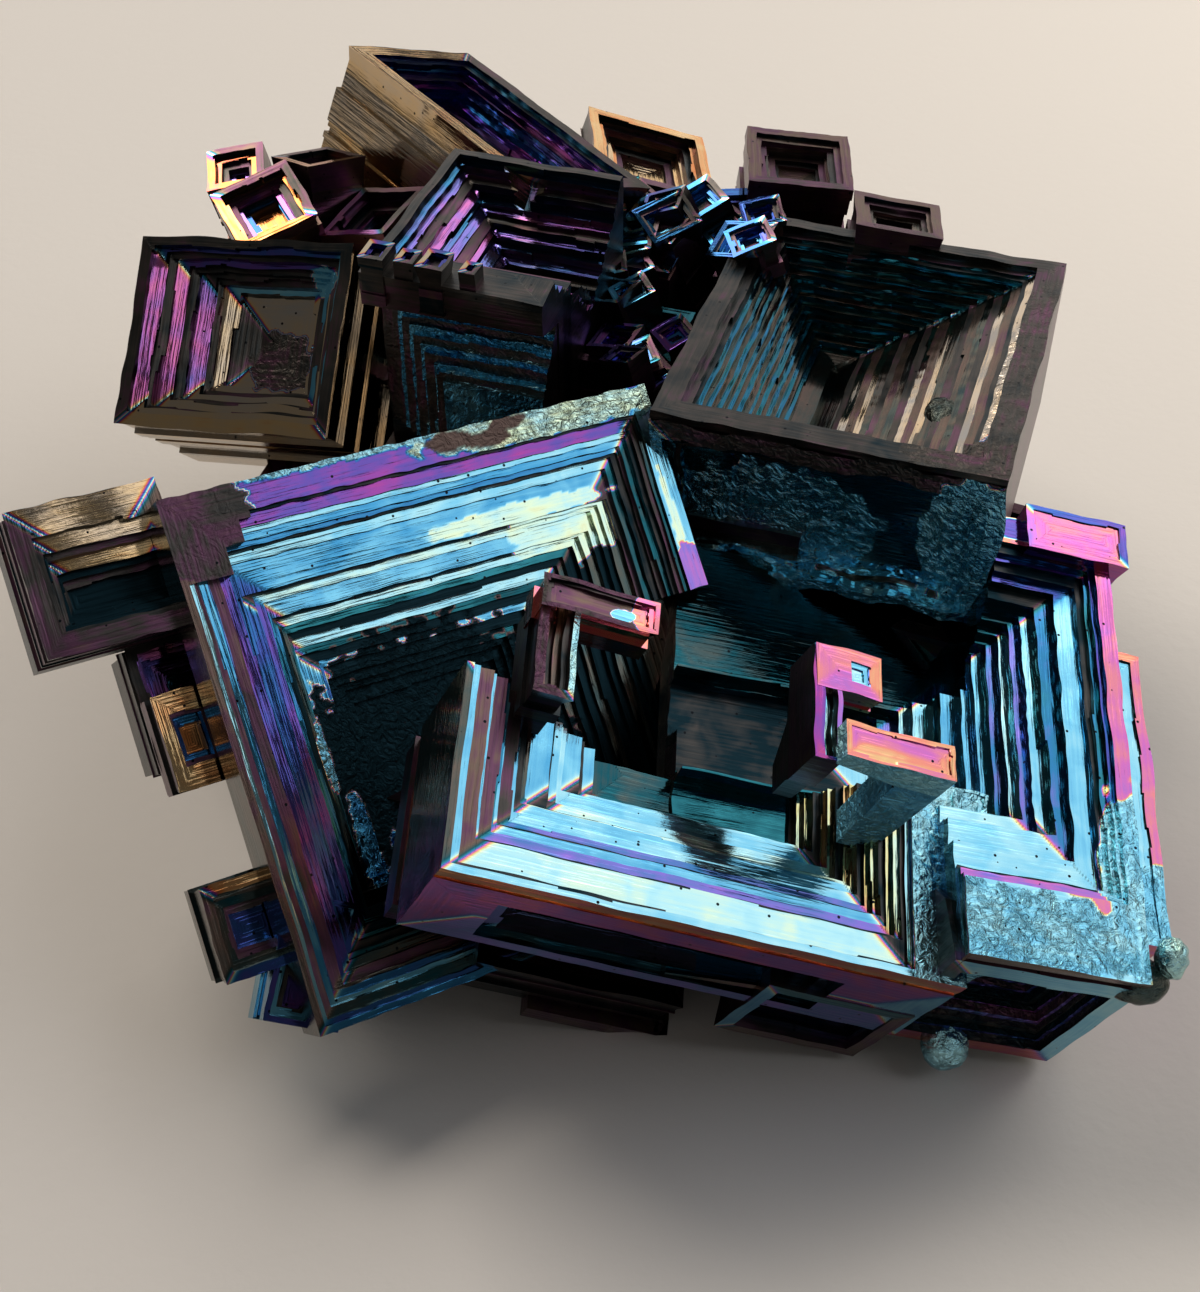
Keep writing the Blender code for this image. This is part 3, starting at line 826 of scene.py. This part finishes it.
grow(
    "front_hook_post", crystal_frame(HOOK, FRONT_TURN, at=(-1.2, 0, 0)), (1.7, 7.4, 12),
    (-0.2, 0.55, -3.5, 2.6), flight(2, 0.15, 0.3, (92, 100), 29), seed=30, cell=0.07,
    rim_film=(48, 140, 47, 128), wall_film=206, side_film=206,
    under=[
        ((-0.85, 0.85, -3.7, 3.7), -0.4), ((-0.85, 0.85, -3.7, 3.7), -3.2),
        ((-0.7, 0.7, -3.4, 0.4), -3.8), ((-0.5, 0.7, -3.2, -1.4), -6),
    ],
)
grow(
    "front_hook_bar", crystal_frame(HOOK, FRONT_TURN, at=(0.1, 2.3, 0.05)), (4.1, 2.8, 1.6),
    (0.1, 1.3, -0.7, 0.6), flight(2, 0.2, 0.15, (92, 98), 31), seed=32, cell=0.06,
    rim_film=(130, 124, 138, 128), wall_film=150, side_film=128,
)
grow(
    "front_top_bar", crystal_frame((16.7, -14.8, 23.9), FRONT_TURN), (6.8, 2.2, 10),
    (-3.1, 3.1, -0.8, 0.8), flight(1, 0.3, 0.08, (130,), 33), seed=34, cell=0.08, swell=0.05,
    rim_film=(122, 122, 130, 124), wall_film=128, side_film=94, side_skin=3.0,
    under=[
        ((-3.4, 3.4, -1.1, 1.1), -0.3), ((-3.4, 3.4, -1.1, 1.1), -1.3),
        ((0.6, 3.4, -1.1, 1.1), -2.0), ((1.2, 3.4, -1.0, 1.1), -10),
    ],
)


# ---- The crystals under the broad hopper -------------------------------------
# Two slabs and a small hopper that faces forward, under the front face. They grew out of the
# broad hopper, on the same lattice as it.

SLAB = (-1.0, -15.0, 6.4)
FOOT = (14.4, -17.0, 10.3)
grow(
    "front_slab", crystal_frame(SLAB, FRONT_TURN), (13.5, 4.6, 4.4), (-6.2, 6.2, -1.7, 1.8),
    flight(2, 0.4, 0.3, (66, 206), 37), seed=38, cell=0.14, rim_film=(64, 206, 62, 206),
    wall_film=62, side_film=208,
)
grow(
    "front_slab_foot", crystal_frame(SLAB, FRONT_TURN, at=(2.6, 0.2, -3.6)), (9.5, 6.4, 1.6),
    (-4.2, 4.2, -2.7, 2.7), flight(1, 0.4, 0.2, (200,), 39), seed=40, cell=0.2, rim_film=198,
    wall_film=206, side_film=200,
)
grow(
    "front_foot_face", crystal_frame(FOOT, FRONT_TURN, at=(0, -4.1, -3.8), facing=FORWARD),
    (9.5, 7.6, 4.0), (-3.9, 3.9, -2.9, 3.0), flight(5, 0.45, 0.5, (72, 64, 84, 206, 68), 41),
    seed=42, cell=0.1, rim_film=(84, 198, 198, 170), wall_film=206, side_film=198,
)
grow(
    "front_foot", crystal_frame(FOOT, FRONT_TURN, at=(0, 1.0, -1.6)), (9.5, 4.2, 6.0),
    (-4.2, 4.2, -1.5, 1.5), flight(1, 0.4, 0.2, (170,), 43), seed=44, cell=0.2, rim_film=170,
    wall_film=180, side_film=180,
)


# ---- The tall hopper at the right --------------------------------------------
# A deep crystal open to the left. Its right side is a stack of long narrow terraces, each
# of another colour, and its front ledge is covered by a wrinkled skin of melt that drained
# off. Under the ledge a second hopper faces forward.

RIGHT_TURN = (15, 16, 1)
RIGHT_PLACE = (19.6, -7.6, 20.2)
# Painted shade: the treads at 212 and 214 are near black, for the shade in the grooves between
# terraces and on the deep floor of the last levels.
RIGHT_STEPS = four_sides(
    rises=(
        0.30, 0.30, 0.35, 0.40, 0.60, 0.60, 0.50, 0.70, 0.60,
        0.70, 0.70, 0.90, 0.70, 0.90, 0.80, 0.80, 0.80,
    ),
    left=((0, 90),) * 15 + ((0, 214),) * 2,
    right=(
        (0.30, 60), (0.30, 162), (0.40, 212), (1.40, 90), (0.80, 156), (0.90, 91), (0.60, 150),
        (0.50, 98), (0.60, 153), (0.60, 88), (0.60, 87), (0.90, 86), (0.30, 164), (1.10, 92),
        (0.60, 95), (1.10, 150), (0.40, 94),
    ),
    bottom=(
        (0.35, 142), (0.35, 140), (0.40, 214), (1.80, 93), (1.80, 93), (0.15, 214), (1.10, 96),
        (0.30, 214), (0.40, 170), (0.30, 214), (0.30, 172), (0.30, 214), (0.30, 172), (0.30, 214),
        (0.30, 172), (0.30, 214), (0.30, 214),
    ),
    top=(
        ((0.60, 214), (0.50, 60), (0.60, 214), (0.60, 62), (0.80, 214))
        + ((0.50, 180),) * 11 + ((0.50, 214),)
    ),
)
grow(
    "right_hopper", crystal_frame(RIGHT_PLACE, RIGHT_TURN), (26, 31, 13), (-16, 11.9, -10.7, 13.4),
    RIGHT_STEPS, seed=51, cell=0.15, jog=0.9, wave=0.06, rim_film=(90, 134, 94, 126), wall_film=166,
    side_film=196, cuts=((-13.1, 5.4, 5.4, 15.6, 16), (-13.1, 1.7, -15.6, -3, 15)),
    under=[
        ((-13, 13, -15.5, 15.5), -0.6), ((-13, 13, -15.2, 15.5), -1.6),
        ((-13, 13, -11.5, 15.5), -3.8), ((-13, 13, -10, 15.5), -4.5), ((-13, 13, -10, 15.5), -13),
    ],
    paint=(
        (4, -13.4, 12, 2.6, (0, 0), 91, 0.9, 0),
        (12.4, -9, 1.8, 6, (0, 3), 93, 0.6, 0),
        (6, 14.6, 3.5, 0.8, (0, 0), 56, 0, 0),
    ),
)
grow(
    "right_hopper_rib", crystal_frame(RIGHT_PLACE, RIGHT_TURN, at=(13.9, -2.5, -1.2)), (2.6, 20, 9),
    (-0.4, 0.6, -9.4, 9.4), flight(1, 0.25, 0.15, (92,), 53), seed=54, cell=0.12, wave=0.1,
    rim_film=(132, 132, 92, 124), wall_film=206, side_film=134,
    paint=((0, -8.5, 3, 4, (0, 2), 92, 0.6, 0),),
)
grow(
    "right_hopper_horn", crystal_frame(RIGHT_PLACE, RIGHT_TURN, at=(10.5, 14.6, 0.8)), (7, 3.4, 3),
    (-3.0, 3.0, -1.2, 1.3), flight(1, 0.3, 0.12, (134,), 55), seed=56, cell=0.12,
    rim_film=(140, 56, 136, 58), wall_film=206, side_film=138,
)
# Painted shade: the treads at 212 and 214 and the walls are near black, for the shade in the grooves
# of this hopper under the ledge.
grow(
    "right_hopper_face",
    crystal_frame(RIGHT_PLACE, RIGHT_TURN, at=(7.2, -15.5, -7.1), facing=FORWARD),
    (11.6, 11.8, 6.4), (-4.9, 4.6, -4.7, 4.4),
    flight(9, 0.32, 0.55, (60, 214, 150, 54, 212, 58), 57), seed=58, cell=0.12, wave=0.05,
    rim_film=(207, 92, 38, 90), wall_film=212, side_film=204,
    under=[
        ((-5.8, 5.8, -5.9, 5.9), -0.6), ((-5.8, 5.8, -5.9, 5.0), -4.2),
        ((-5.8, 5.8, -5.9, 2.6), -6.4),
    ],
    paint=((0, 0, 7, 7, (1, 9), None, 2.0, 0),),
)


# ---- The level hopper at the upper right -------------------------------------
# The crystal that opens straight up. Its film is so thick that it has gone gunmetal brown,
# and rows of fine ridges line its inner walls. Its front face is a shallow hopper in shadow.

LEVEL_TURN = (0, 0, -18)
UPPER_PLACE = (18.1, 20.2, 27.9)
UPPER_STEPS = [
    (0.5, (0.5, 0.5, 0.5, 0.4), (207, 6, 207, 207)),
    (0.3, (0.3, 0.4, 0.3, 0.4), (214, 212, 212, 214)),
]
RIDGE_FILMS = (196, 6, 207, 188, 194, 207, 190, 10)
for k in range(20):
    odd = k % 2
    ridge = RIDGE_FILMS[k % len(RIDGE_FILMS)]
    UPPER_STEPS.append((0.3, (0.24, 0.54, 0.22, 0.2), (162 + 28 * odd, ridge, 84, 164 + 30 * odd)))
grow(
    "upper_hopper", crystal_frame(UPPER_PLACE, LEVEL_TURN), (23, 26, 12), (-9.9, 9.6, -11.2, 11.9),
    UPPER_STEPS, seed=61, cell=0.12, jog=0.8, wave=0.06, swell=0.12, lean=(0, 0.32, 0, 0.1),
    rim_film=(209, 207, 209, 209), wall_film=176, side_film=208,
    under=[
        ((-11.5, 11.5, -13, 13), -0.5), ((-11.5, 11.5, -11.2, 13), -0.8),
        ((-11.5, 11.5, -11.2, 13), -12),
    ],
    paint=((10.6, -4, 1.6, 14, (0, 1), None, 0.6, 0), (8.5, -11.0, 4.2, 2.6, (0, 3), 207, 1.0, 0)),
)
grow(
    "upper_hopper_face", crystal_frame(UPPER_PLACE, LEVEL_TURN, at=(0, -13, -6.3), facing=FORWARD),
    (23, 11.4, 2), (-10.6, 10.4, -5.0, 4.4),
    (
        (0.5, (0.8, 0.5, 0.6, 0.4), (86, 207, 92, 84)),
        (0.3, (0.3, 0.4, 0.3, 0.3), (207, 88, 207, 207)),
        (0.3, (3.0, 0.3, 0.3, 0.3), (90, 207, 92, 88)),
        (0.3, (0.3, 0.3, 0.3, 0.3), (207, 90, 90, 88)),
    ),
    seed=64, cell=0.14, wave=0.22, swell=0.12, rim_film=(84, 88, 86, 207), wall_film=90,
    side_film=206, rim_skin=1.0,
    paint=((9.5, 0, 3.0, 6, (0, 4), 90, 1.0, 0), (-3, -1, 7, 4, (1, 4), 88, 0.8, 0)),
    under=[((-11.5, 11.5, -5.7, 5.7), -0.6), ((-11.5, 11.5, -5.7, 5.4), -1.8)],
)


# ---- The cube behind the left hopper -----------------------------------------
# A bismuth cube on the same lattice as the level hopper. Its top face became a hopper with
# thin lilac fins, and its front face shows blue angles, with small cubes on its upper edge.

REAR_PLACE = (-6.9, 23.3, 34.6)
# The front face is a mound whose steps are dark and blue in turn.
DARK_STEP = (-0.29, (0.62, 0, 0, 0.56), 207)
BLUE_STEP = (-0.29, (0.38, 0, 0, 0.36), 80)
# The small cubes on its edge, as how far right of the middle and how wide.
STUDS = ((-5.2, 1.7), (-3.1, 1.3), (-1.2, 1.8), (1.2, 1.1))
grow(
    "rear_hopper", crystal_frame(REAR_PLACE, LEVEL_TURN), (12.4, 17, 13.5), (-5.5, 8, -5.6, 7.8),
    flight(13, 0.52, 0.45, (150, 146, 206, 142), 71, (1,)), seed=72, cell=0.11, wave=0.08,
    lean=(0.4, 0, 0, 0.1), rim_film=209, wall_film=209, side_film=209,
    under=[
        ((-6.2, 6.2, -8.5, 8.5), -0.6), ((-6.2, 6.2, -8.4, 8.5), -2.4),
        ((-6.2, 6.2, -5.4, 8.5), -3.2), ((-6.2, 6.2, -5.4, 8.5), -16.5),
    ],
)
grow(
    "rear_hopper_face", crystal_frame(REAR_PLACE, LEVEL_TURN, at=(0, -5.6, -7.6), facing=FORWARD),
    (12.4, 11.8, 3.0), (-5.4, 6.3, -6.0, 4.6), (DARK_STEP, BLUE_STEP) * 5, seed=74, cell=0.1,
    wave=0.06, rim_film=(207, 209, 209, 207), wall_film=90, side_film=209,
    paint=((0, 0, 9, 9, (0, 11), None, 0.9, 0),),
)
for number, (right_of, wide) in enumerate(STUDS, 1):
    grow(
        f"rear_hopper_stud_{number}",
        crystal_frame(REAR_PLACE, LEVEL_TURN, at=(right_of, -7.6, 1.0 + 0.2 * wide)),
        (wide, wide * 1.3, 3.4),
        (0.3 - wide / 2, wide / 2 - 0.3, 0.3 - wide * 0.6, wide * 0.6 - 0.3),
        flight(2, 0.15, 0.25, (58, 209), 170 + number), seed=175 + number, cell=0.08,
        rim_film=(12, 209, 207, 58), wall_film=60, side_film=209,
    )


# ---- The crystals at the back left -------------------------------------------
# A blunt crystal with magenta stripes, a heap of small cubes behind it, and the long crystal
# that makes the highest corner. They grew out of the heart, each on its own lattice.

grow(
    "far_left_hopper", crystal_frame((-25.3, 22.5, 26.3), (42, -8, -17)), (16.4, 13.6, 12),
    (-7.4, 7.4, -5.8, 6.2),
    (
        (0.4, (1.1, 0.3, 0.4, 0.4), (138, 90, 12, 60)),
        (0.4, (0.5, 0.4, 0.3, 0.3), (209, 207, 207, 209)),
        (0.4, (1.0, 0.3, 0.5, 0.4), (136, 14, 10, 54)),
        (0.4, (0.6, 0.4, 0.3, 0.3), (209, 207, 207, 207)),
        (0.4, (1.1, 0.4, 0.5, 0.3), (140, 86, 8, 207)),
        (0.4, (0.6, 0.5, 0.4, 0.4), 207),
        (0.3, (0.8, 0.4, 0.4, 0.4), (10, 12, 10, 90)),
        (0.5, (0.8, 0.5, 0.4, 0.4), (207, 8, 8, 6)),
    ),
    seed=81, cell=0.12, jog=1.6, wave=0.08, swell=0.12, lean=(0.3, 0, 0, 0),
    rim_film=(207, 209, 20, 209), wall_film=209, side_film=12,
    paint=((2.5, -1, 2.6, 2.2, (5, 8), 207, 0.4, 0), (5.6, 4.4, 1.2, 1.0, (0, 8), 88, 0.2, 0)),
)
grow(
    "peak_hopper", crystal_frame((-7.5, 41.1, 33.0), (-21, 6, -50)), (22, 12, 13.5),
    (-9.6, 9.8, -4.8, 4.9), flight(9, 0.42, 0.42, (209, 48, 207, 142, 60, 54), 83), seed=84,
    cell=0.14, wave=0.05, rim_film=(22, 207, 22, 207), wall_film=150, side_film=14,
    lean=(0, 0.2, 0.2, 0),
)


def within(width, height, rim):
    """The mouth of a crystal with a rim of one width all round."""
    return rim - width / 2, width / 2 - rim, rim - height / 2, height / 2 - rim


# Place, turn, size and film of each small cube.
BUDS = (
    ((-24.0, 33.0, 30.4), (14, -14, 25), (6, 6, 10), 30),
    ((-20.6, 38.4, 31.2), (-14, 10, 40), (5, 5, 10), 30),
    ((-26.6, 37.4, 31.0), (13, -10, 5), (4.2, 4.2, 9), 32),
    ((-16.4, 33.4, 29.6), (8, -18, -30), (6, 6, 10), 140),
)
for number, (place_at, turn, size, film_at) in enumerate(BUDS, 1):
    grow(
        f"bud_crystal_{number}", crystal_frame(place_at, turn), size, within(size[0], size[1], 0.6),
        flight(5, 0.35, 0.4, (film_at, 206, 144, 70), 90 + number), seed=95 + number, cell=0.14,
        rim_film=(film_at, 206, film_at, 200), wall_film=206, side_film=200,
    )


# ---- The plates and small crystals at the back -------------------------------
# Flat-topped crystals along the back edge, straw and brown, and three blue ones in the
# hollow before them. They grew from the heart of the cluster, each on its own lattice.

# Name, place, turn, size and film.
PLATES = (
    ("back_plate_left", (4.0, 45.6, 27.5), (2, 19, 5), (9.6, 9.6, 10), 24),
    ("back_plate_middle", (15.3, 44.4, 27.8), (4, 6, -1), (8.0, 7.4, 10), 198),
    ("back_plate_right", (21.7, 34.6, 28.6), (-7, 8, -6), (6.4, 6.2, 10), 198),
    ("back_cube_left", (2.2, 33.5, 27.2), LEVEL_TURN, (8, 7, 9), 72),
    ("back_cube_middle", (9.6, 38.6, 26.2), (12, 8, 20), (7, 6, 9), 66),
    ("back_cube_front", (1.2, 24.0, 25.6), LEVEL_TURN, (9, 8, 8), 168),
)
for number, (name, place_at, turn, size, film_at) in enumerate(PLATES, 1):
    grow(
        name, crystal_frame(place_at, turn), size, within(size[0], size[1], 0.8),
        flight(6, 0.4, 0.35, (film_at, 206, film_at - 6), 100 + number), seed=110 + number,
        cell=0.15, rim_film=(film_at, film_at, 204, film_at), wall_film=206, side_film=200,
    )


# ---- The hollow crystals at the back -----------------------------------------
# Small blue crystals, 2 to 4 mm wide, crowded together in the hollow behind the cube. They
# are long prisms with a square pit in the end, and all lean towards the same side.

MOST_TURN = ((1, -25, -40), (16, -10, 40))
# How many there are in each stretch, and its two corners.
CROWDS = ((21, (-3, 29, 27), (12, 38, 30)), (7, (0, 17, 25.5), (5.5, 26, 28)))
draw = np.random.RandomState(7)
for number, (low, high) in enumerate([ends for many, *ends in CROWDS for _ in range(many)], 1):
    wide = draw.uniform(2.4, 4.4)
    film_at = draw.choice([62, 68, 70, 80, 156, 54])
    grow(
        f"hollow_crystal_{number}",
        crystal_frame(draw.uniform(low, high), draw.uniform(*MOST_TURN)), (wide, wide * 0.9, 9),
        (0.35 - wide / 2, wide / 2 - 0.35, -wide * 0.35, wide * 0.35),
        flight(4, 0.22, 0.3, (206, film_at, film_at + 12), 150 + number), seed=160 + number,
        cell=0.1, rim_film=(film_at, 206, film_at, film_at), wall_film=film_at, side_film=206,
    )


# ---- The heart of the cluster ------------------------------------------------
# The older crystals that the rest grew out of. Their faces show at the back and sides, with
# shallow hoppers in them, and they end in the flat on which the cluster rests.

# Name, place, turn, size, and the sides that have a hopper of their own.
HEART = (
    ("heart_middle", (3.0, 26.0, 19.5), LEVEL_TURN, (30, 26, 19.5), ()),
    ("heart_front", (3.0, 0.5, 7.0), LEVEL_TURN, (27, 17, 7), ()),
    ("heart_left", (-9.5, 4.5, 9.0), LEVEL_TURN, (19, 20, 9), ("left",)),
    ("heart_left_low", (-17.0, 19.0, 13.5), LEVEL_TURN, (18, 22, 13.5), ("left",)),
    ("heart_left_high", (-19.0, 31.0, 21.5), (6, -8, 12), (15, 14, 14), ("left", "back")),
    ("heart_back_left", (-7.5, 38.5, 19.0), (3, -4, 8), (20, 18, 18), ("left", "back")),
    ("heart_back_right", (15.5, 35.0, 20.5), (-3, 5, -24), (20, 19, 19), ("right", "back")),
    ("heart_right_low", (25.0, 14.0, 13.0), (-4, -6, -30), (15, 18, 12), ("right",)),
)
FACE_DEPTH = 4.4
for number, (name, place_at, turn, (wide, long, tall), faced) in enumerate(HEART, 1):
    left, right, back = (FACE_DEPTH * (side in faced) for side in ("left", "right", "back"))
    body = (wide - left - right, long - back, tall)
    grow(
        name, crystal_frame(place_at, turn, at=((left - right) / 2, -back / 2, 0)), body,
        within(body[0], body[1], 1.2), flight(5, 0.7, 0.5, (182, 206, 66, 178), 120 + number),
        seed=130 + number, cell=0.25, rim_film=(206, 204, 206, 200), wall_film=206, side_film=200,
    )
    faces = {
        "left": (long, (-wide / 2, 0), -90), "right": (long, (wide / 2, 0), 90),
        "back": (body[0], ((left - right) / 2, long / 2), 180),
    }
    for side in faced:
        across, (x, y), facing = faces[side]
        own = 10 * number + len(side)
        grow(
            f"{name}_{side}",
            crystal_frame(place_at, turn, at=(x, y, -tall / 2), facing=(90, 0, facing)),
            (across, tall, FACE_DEPTH), within(across, tall, 1.3),
            flight(8, 0.95, 0.48, (74, 206, 150, 206, 62, 204, 84, 207), 220 + own), seed=240 + own,
            cell=0.2, jog=1.4, rim_film=(206, 204, 206, 20), wall_film=200, side_film=204,
        )


# ---- The beads of drained melt -----------------------------------------------
# Drops of melt that ran down the front, or into the level hopper, as the cluster was lifted
# out, and froze there. Each is a rounded bead of bismuth with a dull wrinkled skin.

BEAD_SKIN = 1.2
# Name, place, radius, how far it is stretched along each axis, and film.
BEADS = (
    ("bead_under_front", (21.1, -19.4, 2.6), 1.5, (1.0, 0.95, 1.05), 96),
    ("bead_at_corner", (32.6, -20.6, 12.9), 1.15, (0.8, 1.0, 1.2), 100),
    ("bead_below_corner", (30.9, -20.9, 11.2), 1.5, (1.25, 1.0, 0.85), 186),
    ("bead_in_upper_hopper", (22.9, 15.2, 24.5), 1.5, (0.9, 1.3, 0.8), 188),
)
for number, (name, place_at, radius, stretch, film_at) in enumerate(BEADS):
    bpy.ops.mesh.primitive_uv_sphere_add(segments=48, ring_count=28, radius=radius * MM)
    bead = bpy.context.object
    bead.name = name
    bead.data.name = name
    bpy.ops.object.mode_set(mode="EDIT")
    bpy.ops.mesh.select_all(action="SELECT")
    bpy.ops.transform.resize(value=stretch)
    bpy.ops.transform.vertex_random(offset=0.3 * MM, seed=number, normal=1.0)
    bpy.ops.mesh.vertices_smooth(factor=0.5, repeat=6)
    bpy.ops.object.mode_set(mode="OBJECT")
    bead.data.transform(Matrix.Translation(Vector(place_at) * MM))
    for label, value in (("film", film_at), ("skin", BEAD_SKIN), ("crust", 0.0)):
        write_corners(bead.data, label, np.full(len(bead.data.loops), value))
    finish_crystal(bead, crease=60)
